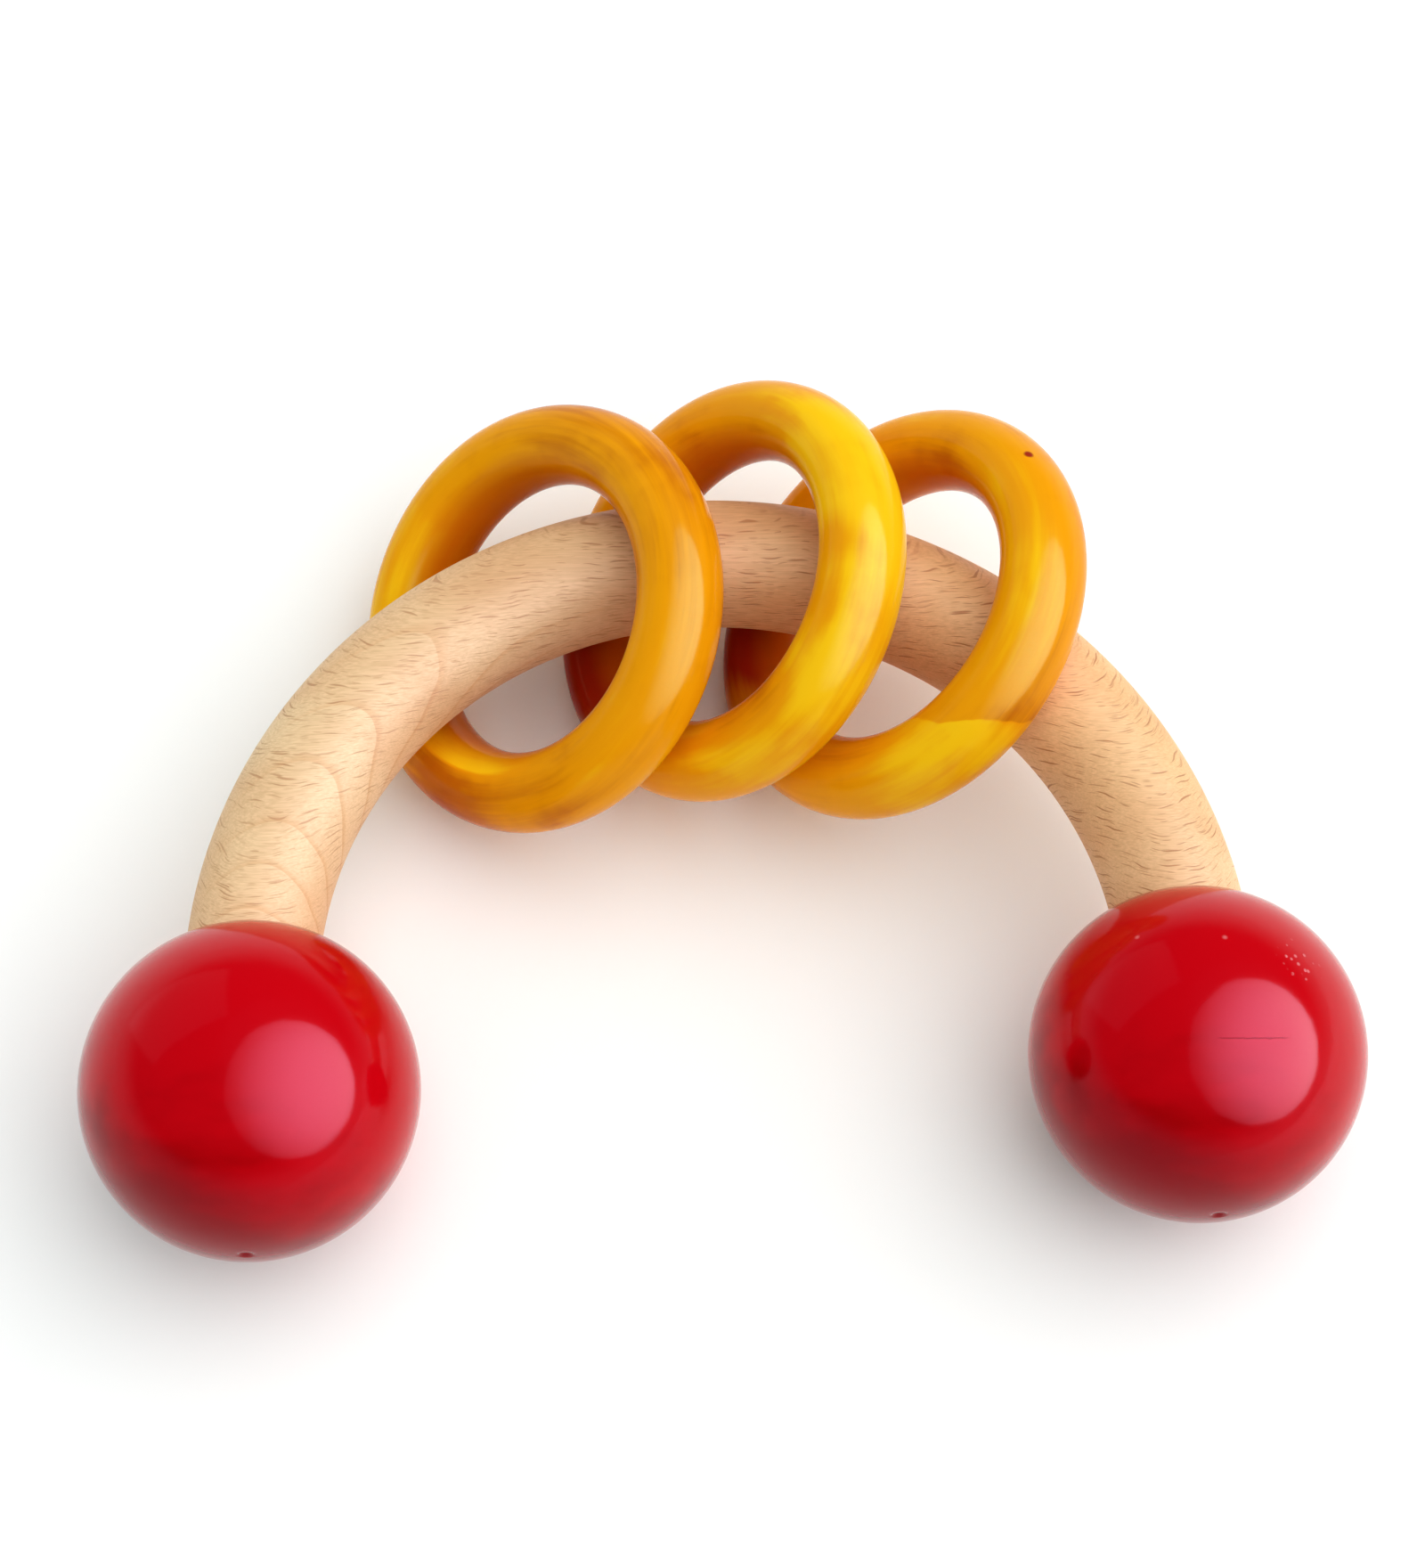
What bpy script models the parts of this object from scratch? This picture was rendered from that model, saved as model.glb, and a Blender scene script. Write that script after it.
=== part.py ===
"""Wooden ring rattle: a half-ring beech handle, two lacquered balls and three loose rings.

Frame: metres, Z up, the table at Z = 0. The origin lies on the table below the centre of the
handle's arc. X runs from the left ball to the right ball and Y from the balls to the crown.
"""

import math

import bmesh
import bpy
import numpy as np
from mathutils import Euler, Matrix, Vector

MM = 0.001

# Handle: half of a turned ring of round section, cut on its diameter
HANDLE_RADIUS = 63.0 * MM
HANDLE_DIAMETER = 18.0 * MM
HANDLE_END_CHAMFER = 0.8 * MM

# Balls: turned, lacquered, bored to take the arm
BALL_DIAMETER = 45.0 * MM
BALL_SET_BACK = 13.5 * MM
LATHE_MARK_DIAMETER = 2.0 * MM
LATHE_MARK_DEPTH = 0.5 * MM

# Dowels: fluted pins across the joint between arm and ball
DOWEL_DIAMETER = 8.0 * MM
DOWEL_LENGTH = 24.0 * MM
DOWEL_CHAMFER = 0.8 * MM
DOWEL_FLUTE_DEPTH = 0.35 * MM
DOWEL_FLUTES = 12

# Rings: closed, turned to an oval section, wider along the axis than across it
RING_MIDLINE_RADIUS = 25.0 * MM
RING_WIDTH = 11.4 * MM
RING_THICKNESS = 13.0 * MM

# How the rings lie: place of the middle one on the arc and bare arm between neighbours, then
# for each ring how far its centre sits inside the arm's line, how far it is twisted from that
# line, and how much steeper it stands than a full lean where its lower rim is pinched
MIDDLE_RING_ANGLE = math.radians(86.0)
LEFT_SPACING = 10.5 * MM
RIGHT_SPACING = 7.4 * MM
LEFT_INSET = 3.3 * MM
MIDDLE_INSET = 4.8 * MM
RIGHT_INSET = 2.2 * MM
LEFT_TWIST = math.radians(-10.0)
MIDDLE_TWIST = math.radians(6.5)
RIGHT_TWIST = math.radians(21.5)
LEFT_EASE = math.radians(1.0)
MIDDLE_EASE = math.radians(5.6)
RIGHT_EASE = math.radians(0.5)

# Clearances
GLUE_GAP = 0.3 * MM
RING_PLAY = 0.3 * MM
PINCH_PLAY = 0.7 * MM

# Facets and the search for a ring's lean
ARC_STEPS = 44
SOCKET_STEPS = 6
ARM_SIDES = 24
BALL_SIDES = 36
RING_STEPS = 48
RING_SIDES = 18
SHARP_ANGLE = math.radians(38.0)
MERGE_DISTANCE = 0.001 * MM
STEEPEST_LEAN = math.radians(80.0)
LEAN_TRIALS = 40

# Sizes that follow
ARM_RADIUS = HANDLE_DIAMETER / 2
BALL_RADIUS = BALL_DIAMETER / 2
ARM_HEIGHT = BALL_RADIUS
DOWEL_RADIUS = DOWEL_DIAMETER / 2
SOCKET_RADIUS = ARM_RADIUS + GLUE_GAP
DOWEL_BORE_RADIUS = DOWEL_RADIUS + GLUE_GAP
DOWEL_BORE_DEPTH = DOWEL_LENGTH / 2 + GLUE_GAP

MATERIALS = {
    "beech": ((0.73, 0.49, 0.30), 0.55),
    "red_lacquer": ((0.50, 0.006, 0.012), 0.10),
    "yellow_lacquer": ((0.76, 0.33, 0.012), 0.14),
    "dowel_beech": ((0.66, 0.45, 0.27), 0.70),
}


def material(slot):
    """One plain material for each kind of surface."""
    made = bpy.data.materials.get(slot)
    if made is None:
        colour, roughness = MATERIALS[slot]
        made = bpy.data.materials.new(slot)
        made.use_nodes = True
        made.diffuse_color = (*colour, 1.0)
        shader = made.node_tree.nodes["Principled BSDF"]
        shader.inputs["Base Color"].default_value = (*colour, 1.0)
        shader.inputs["Roughness"].default_value = roughness
        shader.inputs["Metallic"].default_value = 0.0
    return made


def add_object(name, bm, slot):
    """Close a bmesh into a named object, smooth except at its sharp edges."""
    bmesh.ops.remove_doubles(bm, verts=bm.verts, dist=MERGE_DISTANCE)
    bmesh.ops.recalc_face_normals(bm, faces=bm.faces)
    for face in bm.faces:
        face.smooth = True
    for edge in bm.edges:
        edge.smooth = edge.calc_face_angle(math.pi) < SHARP_ANGLE
    mesh = bpy.data.meshes.new(name)
    bm.to_mesh(mesh)
    bm.free()
    mesh.materials.append(material(slot))
    made = bpy.data.objects.new(name, mesh)
    bpy.context.scene.collection.objects.link(made)
    return made


def open_edges(bm):
    """Edges on the rim of an unfinished surface."""
    return [edge for edge in bm.edges if len(edge.link_faces) < 2]


def arm_tube(radius, sweep, steps):
    """Round bar along the handle's arc, from the right end up through the swept angle."""
    bm = bmesh.new()
    section = Matrix.Translation((HANDLE_RADIUS, 0, 0)) @ Matrix.Rotation(math.pi / 2, 4, "X")
    bmesh.ops.create_circle(bm, segments=ARM_SIDES, radius=radius, matrix=section)
    bmesh.ops.spin(
        bm,
        geom=bm.verts[:] + bm.edges[:],
        cent=(0, 0, 0),
        axis=(0, 0, 1),
        angle=sweep,
        steps=steps,
        use_merge=False,
    )
    bmesh.ops.edgeloop_fill(bm, edges=open_edges(bm))
    return bm


def make_handle():
    """Half ring with lightly chamfered ends and a dowel bore in each of them."""
    bm = arm_tube(ARM_RADIUS, math.pi, ARC_STEPS)
    rims = [edge for edge in bm.edges if any(len(face.verts) > 4 for face in edge.link_faces)]
    bmesh.ops.bevel(
        bm,
        geom=rims,
        offset=HANDLE_END_CHAMFER,
        segments=1,
        profile=0.5,
        affect="EDGES",
        material=-1,
    )
    for end in [face for face in bm.faces if len(face.verts) > 4]:
        inner = end.calc_center_median()
        flat = (end.edges[0].verts[0].co + end.edges[0].verts[1].co) / 2
        wall = (flat - inner).length - DOWEL_BORE_RADIUS * math.cos(math.pi / ARM_SIDES)
        bmesh.ops.inset_individual(bm, faces=[end], thickness=wall, use_even_offset=True)
        pushed = bmesh.ops.extrude_face_region(bm, geom=[end])
        floor = [item for item in pushed["geom"] if isinstance(item, bmesh.types.BMVert)]
        bmesh.ops.translate(bm, verts=floor, vec=(0, DOWEL_BORE_DEPTH, 0))
        bmesh.ops.delete(bm, geom=[end], context="FACES_ONLY")
    handle = add_object("half_ring_handle", bm, "beech")
    handle.location = (0, 0, ARM_HEIGHT)


def ball_profile():
    """Half outline of a ball from its lathe mark to its top, as radius and height."""
    mark = LATHE_MARK_DIAMETER / 2
    start = math.asin(mark / BALL_RADIUS)
    rows = BALL_SIDES // 2
    yield 0.0, LATHE_MARK_DEPTH - BALL_RADIUS
    yield mark, -BALL_RADIUS * math.cos(start)
    for row in range(1, rows + 1):
        turn = math.pi * row / rows
        if turn > start:
            yield BALL_RADIUS * math.sin(turn), -BALL_RADIUS * math.cos(turn)


def revolve(points, steps):
    """Turn an outline, given as radius and height, about the local Z axis."""
    bm = bmesh.new()
    verts = [bm.verts.new((radius, 0, height)) for radius, height in points]
    for lower, upper in zip(verts, verts[1:]):
        bm.edges.new((lower, upper))
    bmesh.ops.spin(
        bm,
        geom=bm.verts[:] + bm.edges[:],
        cent=(0, 0, 0),
        axis=(0, 0, 1),
        angle=2 * math.pi,
        steps=steps,
        use_merge=True,
    )
    return bm


def add_cutter(name, bm, target):
    """Hidden tool solid, taken out of its target by a boolean."""
    cutter = add_object(name, bm, "dowel_beech")
    cutter.hide_render = True
    cutter.display_type = "WIRE"
    cut = target.modifiers.new(name, "BOOLEAN")
    cut.operation = "DIFFERENCE"
    cut.solver = "EXACT"
    cut.object = cutter
    return cutter


def make_ball(name, side):
    """Ball on one arm: socket that follows the curved arm, flat seat, dowel bore beyond it."""
    ball = add_object(name, revolve(ball_profile(), BALL_SIDES), "red_lacquer")
    ball.location = (side * HANDLE_RADIUS, -BALL_SET_BACK, ARM_HEIGHT)
    ball.rotation_euler = (-math.pi / 2, 0, 0)

    socket = arm_tube(SOCKET_RADIUS, BALL_RADIUS / HANDLE_RADIUS, SOCKET_STEPS)
    seat = [vert for vert in socket.verts if vert.co.y < GLUE_GAP]
    bmesh.ops.translate(socket, verts=seat, vec=(0, -GLUE_GAP, 0))
    if side < 0:
        bmesh.ops.scale(socket, verts=socket.verts, vec=(-1, 1, 1))
    socket = add_cutter(name + "_socket_cutter", socket, ball)
    socket.location = (0, 0, ARM_HEIGHT)

    bore = bmesh.new()
    bmesh.ops.create_cone(
        bore,
        cap_ends=True,
        segments=ARM_SIDES,
        radius1=DOWEL_BORE_RADIUS,
        radius2=DOWEL_BORE_RADIUS,
        depth=2 * DOWEL_BORE_DEPTH,
    )
    bore = add_cutter(name + "_bore_cutter", bore, ball)
    bore.location = (side * HANDLE_RADIUS, 0, ARM_HEIGHT)
    bore.rotation_euler = (-math.pi / 2, 0, 0)


def make_dowel(name, side):
    """Fluted pin, half in the arm and half in the ball."""
    bm = bmesh.new()
    tip = DOWEL_RADIUS - DOWEL_FLUTE_DEPTH - DOWEL_CHAMFER
    sides = 4 * DOWEL_FLUTES
    ring = bmesh.ops.create_circle(bm, segments=sides, radius=tip)["verts"]
    bmesh.ops.translate(bm, verts=ring, vec=(0, 0, -DOWEL_LENGTH / 2))
    shank = DOWEL_LENGTH - 2 * DOWEL_CHAMFER
    for rise, fluted in ((DOWEL_CHAMFER, True), (shank, True), (DOWEL_CHAMFER, False)):
        rim = [edge for edge in open_edges(bm) if all(vert in ring for vert in edge.verts)]
        grown = bmesh.ops.extrude_edge_only(bm, edges=rim)["geom"]
        ring = [item for item in grown if isinstance(item, bmesh.types.BMVert)]
        for vert in ring:
            turn = math.atan2(vert.co.y, vert.co.x)
            groove = DOWEL_FLUTE_DEPTH * (1 - math.cos(DOWEL_FLUTES * turn)) / 2
            radius = DOWEL_RADIUS - groove if fluted else tip
            vert.co.x = radius * math.cos(turn)
            vert.co.y = radius * math.sin(turn)
            vert.co.z += rise
    bmesh.ops.edgeloop_fill(bm, edges=open_edges(bm))
    dowel = add_object(name, bm, "dowel_beech")
    dowel.location = (side * HANDLE_RADIUS, 0, ARM_HEIGHT)
    dowel.rotation_euler = (-math.pi / 2, 0, 0)


def ring_mesh():
    """Closed ring of oval section about the local Z axis."""
    bm = bmesh.new()
    oval = Matrix.Diagonal((RING_WIDTH / 2, RING_THICKNESS / 2, 1, 1))
    upright = Matrix.Rotation(math.pi / 2, 4, "X")
    out = Matrix.Translation((RING_MIDLINE_RADIUS, 0, 0))
    bmesh.ops.create_circle(bm, segments=RING_SIDES, radius=1, matrix=out @ upright @ oval)
    bmesh.ops.spin(
        bm,
        geom=bm.verts[:] + bm.edges[:],
        cent=(0, 0, 0),
        axis=(0, 0, 1),
        angle=2 * math.pi,
        steps=RING_STEPS,
        use_merge=True,
    )
    return bm


def ring_turn(lean, twist):
    """Turn that tips a flat ring's axis to the arm's line, raised by the lean."""
    return Euler((lean - math.pi / 2, 0, twist), "XYZ")


def settle_ring(points, inset, twist, ease):
    """Lean a ring until its upper rim meets the arm, with its lower rim on the table.

    A lower rim that nearly fills the room under the arm is pinched there, and the ring stops
    short of a full lean by its ease. One too thick for that room hangs just below the arm.
    Returns the lean and the height of the ring's centre.
    """
    reach = ARM_RADIUS + RING_PLAY
    upper = points[:, 1] < 0

    def limits(lean):
        spot = points @ np.array(ring_turn(lean, twist).to_matrix()).T
        aside = np.hypot(spot[:, 0] + HANDLE_RADIUS - inset, spot[:, 1]) - HANDLE_RADIUS
        near = np.abs(aside) < reach
        swell = np.sqrt(reach**2 - aside[near] ** 2)
        over = (ARM_HEIGHT + swell - spot[near, 2])[upper[near]].max()
        under = (ARM_HEIGHT - swell - spot[near, 2])[~upper[near]].min()
        return over, under, -spot[:, 2].min()

    free, jammed = 0.0, STEEPEST_LEAN
    for _ in range(LEAN_TRIALS):
        lean = (free + jammed) / 2
        over, under, table = limits(lean)
        if over <= min(under, table):
            free = lean
        else:
            jammed = lean
    lean = free if under - table > PINCH_PLAY else free - ease
    return lean, min(limits(lean)[1:])


def make_ring(name, angle, inset, twist, ease):
    """One ring, hung from an empty on the arc's axis that it slides round."""
    ring = add_object(name, ring_mesh(), "yellow_lacquer")
    points = np.array([vert.co[:] for vert in ring.data.vertices])
    lean, height = settle_ring(points, inset, twist, ease)
    slide = bpy.data.objects.new(name + "_slide", None)
    slide.empty_display_size = HANDLE_RADIUS / 4
    slide.rotation_euler = (0, 0, angle)
    bpy.context.scene.collection.objects.link(slide)
    ring.parent = slide
    ring.location = Vector((HANDLE_RADIUS - inset, 0, height))
    ring.rotation_euler = ring_turn(lean, twist)
    return lean


def ring_pitch(lean, spacing):
    """Angle round the arc between two leaning rings with some bare arm between them."""
    return (RING_THICKNESS / math.cos(lean) + spacing) / HANDLE_RADIUS


def main():
    for old in list(bpy.data.objects):
        bpy.data.objects.remove(old, do_unlink=True)
    make_handle()
    for side, word in ((-1, "left"), (1, "right")):
        make_ball(word + "_ball", side)
        make_dowel(word + "_dowel", side)
    lean = make_ring("middle_ring", MIDDLE_RING_ANGLE, MIDDLE_INSET, MIDDLE_TWIST, MIDDLE_EASE)
    to_left = MIDDLE_RING_ANGLE + ring_pitch(lean, LEFT_SPACING)
    to_right = MIDDLE_RING_ANGLE - ring_pitch(lean, RIGHT_SPACING)
    make_ring("left_ring", to_left, LEFT_INSET, LEFT_TWIST, LEFT_EASE)
    make_ring("right_ring", to_right, RIGHT_INSET, RIGHT_TWIST, RIGHT_EASE)


main()
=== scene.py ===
"""Looks of the wooden ring rattle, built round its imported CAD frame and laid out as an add-on."""

import math

import bmesh
import bpy
import numpy as np
from bpy.props import FloatProperty, FloatVectorProperty, IntProperty, PointerProperty
from mathutils import Matrix, Vector


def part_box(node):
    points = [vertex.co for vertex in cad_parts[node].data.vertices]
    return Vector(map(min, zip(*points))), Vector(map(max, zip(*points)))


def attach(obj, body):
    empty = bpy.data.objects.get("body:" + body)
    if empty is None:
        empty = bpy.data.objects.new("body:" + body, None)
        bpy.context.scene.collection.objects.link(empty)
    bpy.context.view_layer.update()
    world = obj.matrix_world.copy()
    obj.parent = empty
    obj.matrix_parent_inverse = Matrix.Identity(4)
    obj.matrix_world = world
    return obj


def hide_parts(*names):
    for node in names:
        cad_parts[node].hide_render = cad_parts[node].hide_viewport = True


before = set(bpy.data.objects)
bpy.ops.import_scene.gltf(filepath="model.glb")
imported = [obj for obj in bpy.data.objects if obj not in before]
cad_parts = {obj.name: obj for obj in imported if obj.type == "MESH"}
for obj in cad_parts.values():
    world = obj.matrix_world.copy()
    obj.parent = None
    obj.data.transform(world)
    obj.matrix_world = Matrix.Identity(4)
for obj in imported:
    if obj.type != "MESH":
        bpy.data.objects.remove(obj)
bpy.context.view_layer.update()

bl_info = {
    "name": "Wooden ring rattle",
    "version": (1, 0, 0),
    "blender": (4, 5, 0),
    "location": "View3D > Sidebar > Rattle",
    "description": "Beech half-ring handle, red lacquered balls and loose yellow lacquered rings",
    "category": "Add Mesh",
}

MM = 0.001
SIDES = {"left": -1, "right": 1}
RINGS = ("left_ring", "middle_ring", "right_ring")
X_AXIS, Z_AXIS = Vector((1, 0, 0)), Vector((0, 0, 1))
LEVEL = (1, 1, 0)

# Fineness of the meshes: sides of a section, and steps of its sweep
BAR_SIDES, ARC_STEPS = 96, 220
BALL_SIDES, BALL_STEPS = 192, 120
RING_SIDES, RING_STEPS = 72, 240
FLUTE_SIDES, PIN_STEPS = 8, 24
CHAMFER_STEPS = 2
FLOOR_SIDES = 96
MERGE_DISTANCE = 0.002 * MM
SHARP_ANGLE = math.radians(38.0)

# Small forms: a socket's lip as shares of its size (outward, down from the top), the step in a
# lathe mark as shares of its diameter and depth, and the turn of the flutes along a dowel
LIP_CURVE = ((0.45, 0.02), (0.12, 0.35), (0.0, 1.0))
MARK_STEP = (0.30, 0.6)
FLUTE_TURN = math.radians(40.0)

# Gloss of the finishes
BEECH_GLOSS = {"IOR": 1.29}
RED_GLOSS = {"Roughness": 0.11, "IOR": 1.27, "Specular Tint": (0.58, 0.3, 0.5)}
YELLOW_GLOSS = {"Roughness": 0.13, "IOR": 1.12, "Specular Tint": (0.4, 2.7, 1.45)}
FLOOR_GLOSS = {"Roughness": 0.9}

# Below, lengths are in millimetres. A range gives the two levels between which a soft step runs,
# and the values at its ends where they aren't 0 and 1. A scale is noise per millimetre.

# Beech: X runs along the fibres, Y across the rays and Z along the rays, out from the heart
GRAIN_TILT = math.radians(45.0)
GRAIN_WANDER = ((0.012, 0.05, 0.05), 2.0, (0, 6, 6))
HEART = (0, -14.0, 96.0)
YEAR_WIDTH = 3.9
LATE_BAND, LATE_LINE, LATE_END = (0.40, 0.97, 0.0, 0.28), (0.78, 0.97), (1.0, 0.98)
FIGURE_ALONG, FIGURE_INSIDE, FIGURE_LEAST = (10.0, -45.0, 0.04, 0.48), (7.0, -5.0), 0.25
WARM_ALONG, WARM_BACK = (-35.0, 15.0), (8.0, 28.0, 0.3, 1.0)
# Clouds and fibres: scale, range, and the tints at its ends
CLOUDS = ((0.03, 0.07, 0.07), (0.35, 0.65), (0.95, 0.87, 0.81), (1.03, 1.05, 1.05))
FIBRES = ((0.14, 5.5, 3.0), (0.30, 0.72), (0.88, 0.84, 0.79), (1.03, 1.03, 1.03))
FIBRE_DETAIL, FIBRE_ROUGHNESS = 3.0, 0.6
SANDED = (0.2, 0.8, 0.60, 0.48)
# Rays: shift, spacing, half size of each fleck, and how strongly the chosen ones show
RAYS = (
    ((0, 0, 0), (3.6, 0.56, 6.0), (2.0, 0.12, 3.1), (0.1, 0.9)),
    ((31.0, 17.0, 11.0), (1.7, 0.34, 4.0), (0.95, 0.085, 1.9), (0.1, 1.0, 0.0, 0.7)),
)
RAY_WANDER = ((0.22, 0.22, 0.22), 1.0, (0, 1.2, 0))
# Bend of the rays in the right arm: by distance from the midline, by depth below a height, where
RAY_BEND, RAY_DIP, RAY_TOP, RAY_BEND_ALONG = -0.040, 0.382, 29.0, (36.0, 48.0)
RAY_TONE = (-40.0, 40.0, 0.58, 0.82)
WOOD_RELIEF = 0.03
# Painted shade on the handle, darker tan patches mostly round the top of the arc where the rings
# hang: place and reach, and how dark
TAN_SHADE_PLACES = (
    ((-28.0, 56.0, 33.0), 15.0), ((-38.0, 44.0, 27.0), 10.0), ((2.0, 66.0, 31.0), 16.0),
    ((26.0, 60.0, 30.0), 16.0), ((48.0, 24.0, 25.0), 12.0),
)
TAN_SHADE_SHARE = 0.55

# Red lacquer: uneven depth, plus painted shade that slowly deepens each ball towards its lower
# front left
DEPTH_SCALE, DEPTH_DETAIL, DEPTH_NOISE = (0.05, 0.12, 0.12), 3.0, 0.45
SHADE_SLOPE, DEPTH_RANGE = (0.006, 0.012, 0.006), (0.27, -0.03)
RED_RIPPLE, RIPPLE_RELIEF = 0.35, 0.02
# Marks in the right ball's lacquer, placed from its centre
BLISTERS = ((11.2, 5.5, 18.7), 5.0)
BLISTER_SPACING, BLISTER_HALF = (1.1, 1.1, 1.1), (0.33, 0.33, 0.33)
BLISTER_CHANCE, BLISTER_EDGE = (0.15, 0.5), (0.1, 0.5)
PIPS, PIP_REACH = ((-9.5, 9.9, 17.8), (1.3, 8.2, 20.9)), 0.5
PIP_TONE, PIP_RELIEF = 0.6, 0.05
# Hairline crack: direction across it, offset, place and reach, then its waver, width and ends
HAIRLINE = ((0.032, 0.935, 0.353), 2.115, (3.4, -5.8, 21.3), 5.6)
HAIRLINE_SCALE, HAIRLINE_WAVER = 0.9, 0.4
HAIRLINE_WIDTH, HAIRLINE_ENDS = (0.11, 0.03), (0.0, 0.2)
HAIRLINE_TONE, HAIRLINE_RELIEF = 0.7, 0.03

# Yellow lacquer: scales across the rim, along the axis and round the ring, and strength of each
STREAK_SCALE, STREAK_DETAIL, STREAK_WAVER = (0.34, 0.34, 1.3), 3.0, 0.2
STREAK_TONE, STREAK_BASE, STREAK_TURN = 0.80, 0.08, 1.3
CLOUD_SCALE, CLOUD_DETAIL, CLOUD_TONE = (0.10, 0.10, 1.0), 1.0, 0.50
FINE_SCALE, FINE_DETAIL, FINE_ROUGHNESS, FINE_TONE = (1.5, 1.5, 2.6), 4.0, 0.6, 0.32
SMUDGE_SCALE, SMUDGE_DETAIL, SMUDGE_TONE = (0.10, 0.10, 0.10), 3.0, (0.48, 0.78, 0.0, -0.20)
RING_TURN, RING_SHIFT = 7.0, 7.3
YELLOW_RIPPLE = 0.3
# Bands of the rim, in shares of its width from the midline, where tone and colour change. Both are
# painted shade: the outer band darkens the rim's outer edge, and the inner band lays deeper orange
# on its inner face
OUTER_SHADE_BAND, OUTER_SHADE_TONE = (0.26, 0.5), (0.0, -0.15)
INNER_SHADE_BAND, INNER_SHADE_SHARE = (-0.5, -0.15), (0.85, 0.0)
# Tones at which one colour gives way to the next
BROWN_TONES, AMBER_TONES, YELLOW_TONES = (-0.80, -0.05), (-0.10, 0.42), (0.42, 0.90)
# Patches of lighter and darker tone on each ring: place on the ring, reach, and change of tone. The
# two changes of -1.60 are painted shade, where the middle and right rims pass under the arm
TONE_AND_SHADE_PATCHES = {
    "left_ring": (
        ((-25.0, 9.0, 6.0), 20.0, 0.12), ((8.5, 25.0, 6.0), 22.0, -0.30),
        ((26.0, 14.0, 3.0), 16.0, -0.14), ((20.0, 1.0, 6.5), 13.0, -0.42),
        ((26.0, -17.0, 1.0), 12.0, 0.12), ((-8.0, -18.5, 5.5), 9.0, 0.42),
        ((-16.0, -26.0, 4.0), 12.0, -0.24), ((4.0, -31.0, 2.0), 12.0, -0.20),
    ),
    "middle_ring": (
        ((0.0, 22.0, 6.0), 14.0, -0.12), ((27.0, 14.0, 2.0), 20.0, 0.50),
        ((31.0, -4.0, 1.0), 18.0, 0.62), ((25.0, -3.0, 6.6), 6.0, -0.38),
        ((29.0, -5.0, 4.8), 4.5, -0.24), ((20.0, -22.0, 4.0), 16.0, 0.46),
        ((3.6, -29.0, 4.0), 14.0, 0.32), ((9.7, -20.5, 6.4), 9.0, -0.50),
        ((3.0, -24.0, 6.6), 6.0, -0.30), ((-22.0, -6.0, 6.0), 18.0, -1.60),
    ),
    "right_ring": (
        ((15.7, 14.5, 5.0), 10.0, -0.25), ((28.0, -11.0, 2.0), 14.0, 0.08),
        ((-5.0, -30.0, 0.0), 16.0, 0.38), ((-7.0, -26.0, 5.5), 11.0, -0.42),
        ((11.0, -27.0, 4.0), 10.0, 0.16),
        ((-23.0, 3.0, 6.0), 17.0, -1.60), ((27.0, 11.6, 4.0), 0.9, -2.5),
    ),
}
# Painted shade beyond an edge along a rim, darker outside it: range of radius, place, reach, change
SHADE_EDGES = {"left_ring": ((23.2, 23.9), (-13.0, -22.0, 6.0), 17.0, -0.56)}
# Edge across a ring where the lacquer changes tone: direction, offset, place and reach
SEAMS = {"right_ring": ((0.378, 0.855, 0.356), -15.26, (12.0, -26.0, 3.0), 17.0)}
SEAM_SCALE, SEAM_WAVER = 0.25, 1.6
SEAM_BELOW, SEAM_ABOVE, SEAM_FADE = (0.25, -0.25), (-0.1, 0.1), (6.0, 0.0)
SEAM_PALE, SEAM_DARK = 0.40, -0.15

# Stage, in metres: floor, camera, directions towards the lamps and their tints
FLOOR_RADIUS, FLOOR_DROP = 4.0, 0.05 * MM
MOTTLE_SCALE, MOTTLE_SHADE = 0.05, 0.985
CAMERA_TARGET = Vector((0.639, 32.054, 15.0)) * MM
SENSOR_WIDTH = 36.0
KEY_WAY, KEY_TINT = Vector((0.47, 0.035, 0.882)), (1.0, 0.89, 0.885)
FILL_WAY, FILL_TINT = Vector((-0.05, 0.25, 0.967)), (0.82, 1.0, 0.985)
LAMP_REACH = 1.2
SOFTBOX_WAY = Vector((0.524, -0.292, 0.799))
PANEL_WAY, PANEL_SIZE = Vector((-0.62, 0.59, 0.51)), (1.2, 0.9)
# Brightest place on the softbox's face, counted from 0 to 1 each way, and the fall-off round it
SOFTBOX_HEART, SOFTBOX_FADE = (0.71, 0.54, 0.0), (0.1, 0.72, 1.0, 0.06)
BACKDROP = (0.0, 0.32)


# Places and sizes read from the frame

def ring_place(node):
    """Centre, axis and sizes of a CAD ring: midline radius, width across and thickness along."""
    points = np.array([vert.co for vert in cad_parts[node].data.vertices])
    low, high = points.min(axis=0), points.max(axis=0)
    centre = (low + high) / 2
    axis = np.linalg.svd(points - centre, full_matrices=False)[2][2]
    axis = axis if axis[2] > 0 else -axis
    along = (points - centre) @ axis
    out = np.linalg.norm(points - centre - np.outer(along, axis), axis=1)
    sizes = ((out.max() + out.min()) / 2, out.max() - out.min(), along.max() - along.min())
    return Vector(centre), Vector(axis), sizes


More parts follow.
